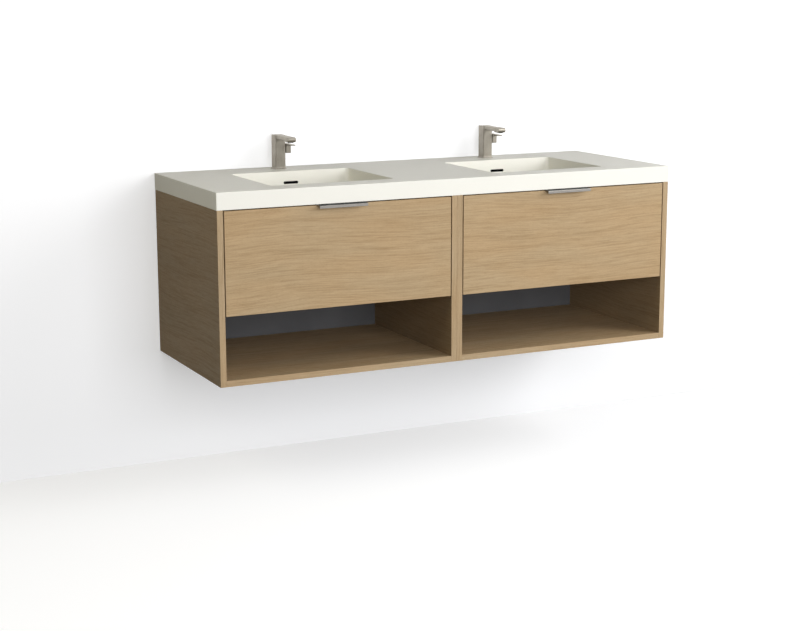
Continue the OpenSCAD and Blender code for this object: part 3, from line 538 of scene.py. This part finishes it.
def half_top():
    """Right half of the top as one closed skin.

    Its loops run from the drain up the bowl, over rim, deck and edge, round the bands to the underside, down
    the bowl's outside and up through the drain boss.
    """
    rim_r, edge_r, foot_r = 1.5, 1.5, 1.0
    floor_z = TOP_Z - BASIN_DROP
    turns = np.linspace(QUARTER, 0, BEND_STEPS + 1)
    bowl = list(zip(BASIN_DROP - FLOOR_R * (1 - np.sin(turns)), turns))
    rows = [drain_ring(DRAIN_SEAT_R, floor_z)]
    rows += [basin_ring(drop, turn) for drop, turn in bowl]
    slot_row = len(rows)
    rows += [basin_ring(SLOT_DROP + SLOT_MARGIN), basin_ring(SLOT_DROP - SLOT_MARGIN)]
    rows += [basin_ring(drop, 0, grow) for drop, grow in quarter_round(rim_r, EDGE_STEPS)]
    deck_row = len(rows)
    rows += [edge_ring(inset, TOP_Z - drop) for inset, drop in quarter_round(edge_r, EDGE_STEPS)]
    rows += [edge_ring(0, TOP_UNDER)]
    rows += [edge_ring(inset, TOP_BOTTOM + up) for up, inset in quarter_round(foot_r, EDGE_STEPS)]
    foot_row = len(rows) - 1
    rows += [hollow_ring(TOP_BOTTOM), hollow_ring(TOP_UNDER), basin_ring(TOP_Z - TOP_UNDER, 0, WALL)]
    rows += [basin_ring(drop, turn, WALL) for drop, turn in bowl[::-1]]
    seat_z = floor_z - DRAIN_SEAT
    boss = [(BOSS_R, floor_z - WALL), (BOSS_R, BOSS_Z), (DRAIN_HOLE_R, BOSS_Z), (DRAIN_HOLE_R, seat_z),
            (DRAIN_SEAT_R, seat_z), (DRAIN_SEAT_R, floor_z)]
    rows += [drain_ring(r, z) for r, z in boss]
    rows = np.array(rows)
    counts = (ARC + 1, ARC + 3, ARC + 1, ARC + 1)
    corner = np.repeat(np.arange(4), counts)
    step = np.concatenate([np.arange(count) for count in counts])
    keep = np.ones((len(rows) - 1, rows.shape[1]), bool)
    # the halves join in the plane X = 0, so the faces that lie in it are left out
    joint = ((corner == 2) & (step >= 1)) | ((corner == 3) & (step <= ARC - 2))
    keep[deck_row:foot_row, joint] = False
    # the overflow slot: a frame in the bowl's back wall, a round lip and a short duct
    slot = np.flatnonzero((corner == 1) & (step == ARC + 1))[0]
    keep[slot_row, slot] = False
    low, high = rows[slot_row:slot_row + 2, slot:slot + 2]
    corners = np.array([high[0], high[1], low[1], low[0]])
    loops = []
    for wider, depth in [*quarter_round(SLOT_LIP, EDGE_STEPS), (0, DUCT_DEPTH)]:
        flat = stadium(SLOT_HALF, SLOT_R + wider)
        drop = SLOT_DROP - flat[:, 1]
        y = RIM_BACK - SLOPE * drop + depth
        loops.append(np.column_stack([BASIN_X + flat[:, 0], y, TOP_Z - drop]))
    return [grid(rows, keep=keep), window(corners, loops[0]), blind_hole(loops)]


def overflow_box():
    """The duct behind the bowl: a box whose front leans with the bowl's wall, and a foot under the floor."""
    half, foot_half, edge = 32, 26, 1.5
    front, back, foot_back = RIM_BACK + WALL, -115, -130
    foot_top = TOP_Z - BASIN_DROP - 4
    points, faces = board((BASIN_X - half, front, BOSS_Z), (BASIN_X + half, back, TOP_UNDER), edge, 3)
    points[:, Y] -= (points[:, Y] < (front + back) / 2) * (TOP_Z - points[:, Z]) * SLOPE
    foot = board((BASIN_X - foot_half, DRAIN_Y, BOSS_Z), (BASIN_X + foot_half, foot_back, foot_top), edge, 3)
    return [(points, faces), foot]


def paint_slot_shade(centres, normals):
    """Painted shade on the duct's faces, which lie behind the bowl's back wall at the slot's height:
    near-black for the dark inside the slot.
    """
    slack, lip = 0.3, 0.9
    drop = TOP_Z - centres[:, Z]
    behind = centres[:, Y] - RIM_BACK + SLOPE * drop
    beside = np.abs(np.abs(centres[:, X]) - BASIN_X) < SLOT_HALF + SLOT_R + slack
    level = np.abs(drop - SLOT_DROP) < SLOT_R + slack
    return beside & level & (behind > lip) & (behind < DUCT_DEPTH + slack)


# the duct behind each overflow slot takes the painted shade
piece("vanity_top", both_halves(half_top()), "cabinet", ("countertop", "left_basin", "right_basin"),
      (composite, duct_painted_shade), paint_slot_shade, crease=40)
piece("overflow_ducts", both_halves(overflow_box()), "cabinet", materials=(composite,))


# ---- cabinet boards ----


def node_box(node):
    """A node's lowest and highest corner in millimetres."""
    low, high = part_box(node)
    return tuple(np.array(low) / MM), tuple(np.array(high) / MM)


BOARD_T = 18
# a face looks along an axis when more than this share of its normal does
LOOKS_ALONG = 0.7


def facing(axis, sign):
    """Paints the faces that look one way along an axis with the second material."""
    def paint(centres, normals):
        return normals[:, axis] * sign > LOOKS_ALONG
    return paint


def both_ends(centres, normals):
    """Paints the faces that look to the left or right with the second material."""
    return np.abs(normals[:, X]) > LOOKS_ALONG


def pair_of_boards(node, edge=0.6):
    """The boards of a node that has one in each half, beside the inner side board."""
    low, high = node_box(node)
    return both_halves([board((BOARD_T, low[Y], low[Z]), high, edge)])


for name, _ in SIDES:
    for which in ("outer", "inner"):
        node = f"{name}_{which}_side"
        # painted shade: the side boards take the darkened copy of the face oak
        piece(f"{node}_board", [board(*node_box(node))], "cabinet", (node,),
              (oak_side_painted_shade[f"{name}_{which}"], oak_band_upright), facing(Y, -1))
    for which in ("floor", "divider"):
        node = f"{name}_{which}"
        # painted shade: the shelf floors and dividers take the darkened copy of the face oak
        piece(f"{node}_board", [board(*node_box(node))], "cabinet", (node,),
              (oak_shelf_painted_shade[name], oak_band_level), facing(Y, -1))
    node = f"{name}_drawer_front"
    piece(f"{node}_board", [board(*node_box(node), edge=0.8, steps=3)], f"{name}_drawer", (node,),
          (oak_face[name], oak_band_upright), both_ends)

piece("shelf_back_panels", pair_of_boards("shelf_backs", 0.4), "cabinet", ("shelf_backs",),
      (dark_panel,))
for node in ("front_rails", "hanging_rails"):
    piece(f"{node}_boards", pair_of_boards(node), "cabinet", (node,), (birch_x,))


# ---- drawers ----


BOX_T = 12
# an edge pull's sheet, the height of its lip and the radius at each corner of its section
PULL_T, PULL_LIP = 2, 9
PULL_ROUND = (0.5, 0.5, 0.5, 0.4, 0.5, 0.5, 1.6, 2.2)


def notched(low, high, left, right, front):
    """Corners of a plan with a notch between left and right, from its back edge as far as front."""
    return [(low[X], low[Y]), (high[X], low[Y]), (high[X], high[Y]), (right, high[Y]),
            (right, front), (left, front), (left, high[Y]), (low[X], high[Y])]


def pull_section(low, high):
    """An edge pull from its side: it caps the front's top edge, with a turned-down lip and a rear tab."""
    lip, under = high[Z] - PULL_LIP, high[Z] - PULL_T
    front, rear = low[Y] + PULL_T, high[Y] - PULL_T
    corners = [(low[Y], lip), (front, lip), (front, under), (rear, under),
               (rear, low[Z]), (high[Y], low[Z]), (high[Y], high[Z]), (low[Y], high[Z])]
    return outline(corners, PULL_ROUND, 5)


for name, _ in SIDES:
    body = f"{name}_drawer"
    node = f"{name}_drawer_sides"
    low, high = node_box(node)
    pair = [board(low, (low[X] + BOX_T, high[Y], high[Z])), board((high[X] - BOX_T, low[Y], low[Z]), high)]
    piece(f"{node}_boards", pair, body, (node,), (birch_y,))

    node = f"{name}_drawer_subfront"
    piece(f"{node}_board", [board(*node_box(node))], body, (node,), (birch_x,))

    node = f"{name}_drawer_notch"
    notch_low, notch_high = node_box(node)
    inner = (notch_low[X] + BOX_T, notch_high[X] - BOX_T, notch_low[Y] + BOX_T)
    plan = outline(notched(notch_low, notch_high, *inner), 0.8, 3)
    wall = slab(plan, Z, notch_low[Z], notch_high[Z], 0.6)
    piece(f"{node}_wall", [wall], body, (node,), (birch_x,))

    node = f"{name}_drawer_back"
    low, high = node_box(node)
    ends = [board(low, (notch_low[X], high[Y], high[Z])), board((notch_high[X], low[Y], low[Z]), high)]
    piece(f"{node}_boards", ends, body, (node,), (birch_x,))

    node = f"{name}_drawer_bottom"
    low, high = node_box(node)
    bottom = slab(outline(notched(low, high, *inner), 0.5, 2), Z, low[Z], high[Z], 0.4)
    piece(f"{node}_board", [bottom], body, (node,), (birch_x,))

    node = f"{name}_edge_pull"
    low, high = node_box(node)
    strip = slab(pull_section(low, high), X, low[X], high[X], 0.35)
    # painted shade: the strip's upward faces take the near-black, for the shadow in the gap under the top
    piece(f"{node}_strip", [strip], body, (node,), (satin_aluminium, pull_top_painted_shade), facing(Z, 1))


# ---- drains ----


# heights from the bowl's floor
FLANGE_R, FLANGE_ROLL, FLANGE_TOP, FLANGE_T = 32, 1.4, -0.2, 2
THROAT_R, MOUTH_R, MOUTH_Z = 17.5, 3.5, -5.5
BODY_R, BODY_SLEEVE, BODY_FOOT = 21.5, -29, -56
TAIL_R, TAIL_T, TAIL_TOP, TAIL_END = 16, 1.7, -41, -131
CAP_R, STEM_R, STEM_END = 22, 3, -38
TURN_STEPS = 5


def threaded(r, low, high, pitch=1.6, depth=0.6):
    """Profile points of a thread: the radius runs between r - depth and r once per pitch, as a zigzag."""
    z = np.arange(low, high, pitch / 2)
    return [(r - depth * (k % 2), h) for k, h in enumerate(z)]


def drain_profile():
    """Up the throat and its round mouth, out over the flange's rolled rim and down the threaded body."""
    mouth = [(THROAT_R + out, MOUTH_Z + MOUTH_R - down) for down, out in quarter_round(MOUTH_R, TURN_STEPS)]
    rim = [(FLANGE_R - inset, FLANGE_TOP - down) for inset, down in quarter_round(FLANGE_ROLL, TURN_STEPS)]
    inside = [(THROAT_R, TAIL_TOP), (THROAT_R, MOUTH_Z)] + mouth + [(23, -0.9)]
    under = [(FLANGE_R, -FLANGE_T), (BODY_R, -FLANGE_T), (BODY_R, BODY_SLEEVE)]
    thread = threaded(BODY_R, BODY_FOOT + 1, BODY_SLEEVE)[::-1]
    foot = [(BODY_R - 1, BODY_FOOT), (TAIL_R, BODY_FOOT), (TAIL_R, TAIL_TOP), (THROAT_R, TAIL_TOP)]
    return inside + rim + under + thread + foot


def stopper_profile():
    """A crowned cap with a round edge, from its middle outwards, and the stem under it."""
    crown = [(0, 4.2), (9, 4.1), (16, 3.8), (20, 3.3)]
    edge = [(CAP_R - inset, 3 - down) for inset, down in quarter_round(1, TURN_STEPS)]
    under = [(CAP_R, 1), (CAP_R - 0.6, 0.35), (12, 0.35), (6, -1)]
    stem = [(STEM_R, -3), (STEM_R, STEM_END + 1), (STEM_R - 1, STEM_END), (0, STEM_END)]
    return crown + edge + under + stem


def tailpiece_profile():
    """A thin tube whose top sits in the drain body, with a rounded lower end."""
    socket, inside = TAIL_R - 0.6, TAIL_R - TAIL_T
    outside = [(socket, TAIL_TOP), (socket, BODY_FOOT), (TAIL_R, BODY_FOOT - 0.3), (TAIL_R, TAIL_END + 1)]
    end = [(TAIL_R - 0.4, TAIL_END), (inside + 0.4, TAIL_END), (inside, TAIL_END + 1)]
    return outside + end + [(inside, TAIL_TOP), (socket, TAIL_TOP)]


for name, s in SIDES:
    centre = (s * BASIN_X, DRAIN_Y, TOP_Z - BASIN_DROP)
    piece(f"{name}_drain_body_turned", [lathe(drain_profile(), centre, turns=96)], "cabinet",
          (f"{name}_drain_body",), (chrome,), crease=28)
    piece(f"{name}_stopper_turned", [lathe(stopper_profile(), centre, turns=96)], f"{name}_pop_up",
          (f"{name}_stopper",), (chrome,), crease=28)
    piece(f"{name}_tailpiece_tube", [lathe(tailpiece_profile(), centre)], "cabinet", (f"{name}_tailpiece",),
          (chrome,))


# ---- faucets ----


FAUCET_X, FAUCET_Y, FAUCET_H = 365.5, -50, 104
COLUMN_W, COLUMN_D, COLUMN_R = 34, 35, 4
LEVER_Z, LEVER_H, LEVER_ROUND = 59.5, 25, 1.2
SEAT_R, SEAT_BAND, SEAT_END = 12.05, 15, -9
SHANK_R, SHANK_END, THREAD_TOP, NECK = 16, -60, -16, -14


def column():
    """The faucet's column: rounded upright edges, a foot that flares in a hollow curve and a soft top edge.

    Its right side has a round seat for the lever's cartridge.
    """
    foot, base, rise, soft = 3.3, 0.9, 3.6, 1.3
    heights = [(0, foot), (base, foot)]
    out, up = quarter_round(foot, TURN_STEPS).T
    heights += list(zip(base + up * rise / foot, out))[1:]
    seat_row = len(heights)
    heights += [(LEVER_Z - SEAT_BAND, 0), (LEVER_Z + SEAT_BAND, 0)]
    heights += [(FAUCET_H - down, -inset) for down, inset in quarter_round(soft, TURN_STEPS)]
    rows = []
    for z, out in heights:
        hx, hy = COLUMN_W / 2 + out, COLUMN_D / 2 + out
        points, _ = outline([(hx, -hy), (hx, hy), (-hx, hy), (-hx, -hy)], COLUMN_R + out, ARC)
        rows.append(np.column_stack([points, np.full(len(points), z)]))
    rows = np.array(rows)
    keep = np.ones((len(rows) - 1, rows.shape[1]), bool)
    keep[seat_row, ARC] = False
    # corners and loops run counter-clockwise as seen from +X, from the high back quarter on
    low, high = rows[seat_row:seat_row + 2, ARC:ARC + 2]
    corners = np.array([high[1], high[0], low[0], low[1]])
    loops = []
    face = COLUMN_W / 2
    rim = [(SEAT_R + 0.45, face), (SEAT_R + 0.15, face - 0.2), (SEAT_R, face - 0.5)]
    for r, x in rim + [(SEAT_R, SEAT_END)]:
        flat = stadium(0, r)
        loops.append(np.column_stack([np.full(len(flat), x), flat[:, 0], LEVER_Z + flat[:, 1]]))
    return [capped(rows, keep), window(corners, loops[0]), blind_hole(loops)]


def spout():
    """A flat arm with a full round nose over a deeper outlet: its side view carried along X."""
    half, nose, outlet, bend, root = 14, -111, -86, -79, -14
    low, under, top = 89, 92, FAUCET_H - 0.03
    side = outline([(nose, low), (outlet, low), (bend, under), (root, under), (root, top), (nose, top)],
                   (6.5, 7.0, 7.0, 0.2, 0.2, 7.4), 10)
    return slab(side, X, -half, half, 3.0, steps=5)


def shank():
    """The threaded shank under the deck, with a smooth neck that ends inside the column."""
    neck_r = SHANK_R - 0.6
    end = [(0, SHANK_END), (SHANK_R - 1, SHANK_END)]
    thread = threaded(SHANK_R, SHANK_END + 0.5, THREAD_TOP)
    return lathe(end + thread + [(neck_r, NECK), (neck_r, 1), (0, 1)], (0, 0, 0))


def lever():
    """Block, plate and stem of a lever, whose rear inner edges are cut away to clear the column.

    Towards its free end the plate's underside rises and its top falls.
    """
    inner, outer, half, cut = 20.5, 37, 12, 4
    thick, reach, rise, fall = 4, 37, 0.4, 0.7
    low, high = LEVER_Z - LEVER_H / 2, LEVER_Z + LEVER_H / 2
    rear = [(outer, half), (inner + cut, half), (inner, half - cut)]
    plan = outline([(inner, -half), (outer, -half)] + rear, (LEVER_ROUND, LEVER_ROUND, LEVER_ROUND, 1, 1), 4)
    block = slab(plan, Z, low, high, 1.0)
    front = -half - reach
    plan = outline([(inner, front), (outer, front)] + rear, (LEVER_ROUND, LEVER_ROUND, 1, 1, 1), 4)
    verts, faces = slab(plan, Z, high, high + thick, 0.8)
    way = np.clip((-half - verts[:, Y]) / reach, 0, 1)
    share = (verts[:, Z] - high) / thick
    verts[:, Z] = high + rise * way + share * (thick - (rise + fall) * way)
    stem_r, stem_in, stem_out = 4.5, 8, 21
    stem = lathe([(0, stem_in), (stem_r, stem_in), (stem_r, stem_out), (0, stem_out)], (0, 0, LEVER_Z), X, 40)
    return block, (verts, faces), stem


for name, s in SIDES:
    at = (s * FAUCET_X, FAUCET_Y, TOP_Z)
    shells = [moved(shell, at) for shell in column()]
    piece(f"{name}_faucet_column", shells, "cabinet", (f"{name}_faucet_body",), (nickel_up,))
    piece(f"{name}_faucet_spout", [moved(spout(), at)], "cabinet", materials=(nickel_out,))
    piece(f"{name}_faucet_shank", [moved(shank(), at)], "cabinet", materials=(brass,))
    block, plate, stem = (moved(shell, at) for shell in lever())
    body = f"{name}_lever"
    piece(f"{name}_lever_block", [block], body, (f"{name}_faucet_lever",), (nickel_up,))
    piece(f"{name}_lever_plate", [plate], body, materials=(nickel_out,))
    piece(f"{name}_lever_stem", [stem], body, materials=(nickel_out,))


# ---- room, light and camera ----


ROOM_Z, WALL_Y, ROOM = -0.795, 0.0015, 9.0
STAGE_TINT = (0.717, 0.722, 0.737, 1)
WALL_LIFT, FLOOR_LIFT = 0.375, 0.54
FADE_NEAR, FADE_FAR = 2.6, 6.0


def stage_sheet(name, corners, lift):
    """A plain matt sheet, seen from its front side only. Gloss mirrors it, and it throws no light or shade.

    Its tint fades to nothing and its lift to white with the distance from the origin.
    """
    sheet = bpy.data.materials.new(name)
    sheet.use_nodes = True
    tree = sheet.node_tree
    tree.nodes.clear()
    n = Nodes(tree)
    place = n.add("ShaderNodeTexCoord", out="Object")
    away = n.add("ShaderNodeVectorMath", {0: place}, out="Value", operation="LENGTH")
    fade = n.ramp(away, FADE_NEAR, FADE_FAR)
    matt = n.add("ShaderNodeBsdfDiffuse", {"Color": n.blend(fade, STAGE_TINT, BLACK)})
    glow = n.add("ShaderNodeEmission", {"Color": WHITE, "Strength": n.ramp(fade, 0.0, 1.0, lift, 1.0)})
    both = n.add("ShaderNodeAddShader", {0: matt, 1: glow})
    clear = n.add("ShaderNodeBsdfTransparent")
    behind = n.add("ShaderNodeNewGeometry", out="Backfacing")
    shown = n.add("ShaderNodeMixShader", {0: behind, 1: both, 2: clear})
    out = tree.nodes.new("ShaderNodeOutputMaterial")
    tree.links.new(shown, out.inputs["Surface"])
    mesh = bpy.data.meshes.new(name)
    mesh.from_pydata(corners, [], [(0, 1, 2, 3)])
    mesh.materials.append(sheet)
    obj = bpy.data.objects.new(name, mesh)
    bpy.context.scene.collection.objects.link(obj)
    for ray in ("diffuse", "transmission", "shadow", "volume_scatter"):
        setattr(obj, f"visible_{ray}", False)


skirting = [(-ROOM, WALL_Y, ROOM_Z), (ROOM, WALL_Y, ROOM_Z)]
stage_sheet("room_wall", skirting + [(ROOM, WALL_Y, ROOM), (-ROOM, WALL_Y, ROOM)], WALL_LIFT)
stage_sheet("room_floor", [(-ROOM, -ROOM, ROOM_Z), (ROOM, -ROOM, ROOM_Z)] + skirting[::-1], FLOOR_LIFT)


CENTRE = Vector((0, -0.3, -0.1))
FILL_TINT = (1.0, 0.945, 0.76)
FRONT_TINT = (0.99, 0.994, 1.02)


def area_light(name, place, size, power, glossy=True, colour=(1, 1, 1)):
    """A square soft light that faces the vanity's centre; gloss mirrors it only if it is glossy."""
    data = bpy.data.lights.new(name, "AREA")
    data.shape, data.size, data.energy, data.color = "SQUARE", size, power, colour
    obj = bpy.data.objects.new(name, data)
    bpy.context.scene.collection.objects.link(obj)
    obj.location = place
    obj.rotation_mode = "QUATERNION"
    obj.rotation_quaternion = (CENTRE - Vector(place)).to_track_quat("-Z", "Y")
    obj.visible_camera = False
    obj.visible_glossy = glossy


area_light("key_right", (2.8, -2.9, 1.8), 2.4, 56)
area_light("side_right", (2.6, -1.6, 1.2), 2.2, 37)
area_light("front", (0.0, -5.0, 0.65), 2.4, 110, glossy=False, colour=FRONT_TINT)
area_light("front_left", (-1.4, -4.8, 0.75), 2.4, 48, glossy=False, colour=FRONT_TINT)
area_light("fill_left", (-2.5, -0.9, 1.4), 1.4, 13, glossy=False, colour=FILL_TINT)
area_light("back", (1.6, 3.2, -0.1), 2.0, 45, glossy=False)

AMBIENT = 0.055
world = bpy.data.worlds.new("studio")
bpy.context.scene.world = world
world.use_nodes = True
world.node_tree.nodes.clear()
n = Nodes(world.node_tree)
path = world.node_tree.nodes.new("ShaderNodeLightPath")
seen = n.maths("MAXIMUM", path.outputs["Is Camera Ray"],
               n.maths("MAXIMUM", path.outputs["Is Glossy Ray"], path.outputs["Is Transmission Ray"]))
ambient = n.add("ShaderNodeBackground", {"Color": (*FILL_TINT, 1), "Strength": AMBIENT})
white = n.add("ShaderNodeBackground", {"Color": WHITE, "Strength": 1.0})
sky = n.add("ShaderNodeMixShader", {0: seen, 1: ambient, 2: white})
out = world.node_tree.nodes.new("ShaderNodeOutputWorld")
world.node_tree.links.new(sky, out.inputs["Surface"])

# the tilt is measured from straight down, the azimuth from the wall's square, in degrees
CAMERA_PLACE = (-2.281, -4.780, 0.669)
CAMERA_TILT, CAMERA_ROLL, CAMERA_AZIMUTH = 78.615, 0.080, -26.276
camera = bpy.data.objects.new("camera", bpy.data.cameras.new("camera"))
bpy.context.scene.collection.objects.link(camera)
camera.data.lens, camera.data.sensor_width = 74.07, 36
camera.location = CAMERA_PLACE
camera.rotation_euler = np.radians([CAMERA_TILT, CAMERA_ROLL, CAMERA_AZIMUTH])
camera.data.clip_start, camera.data.clip_end = 0.05, 60
bpy.context.scene.camera = camera
bpy.context.scene.view_settings.view_transform = "Standard"
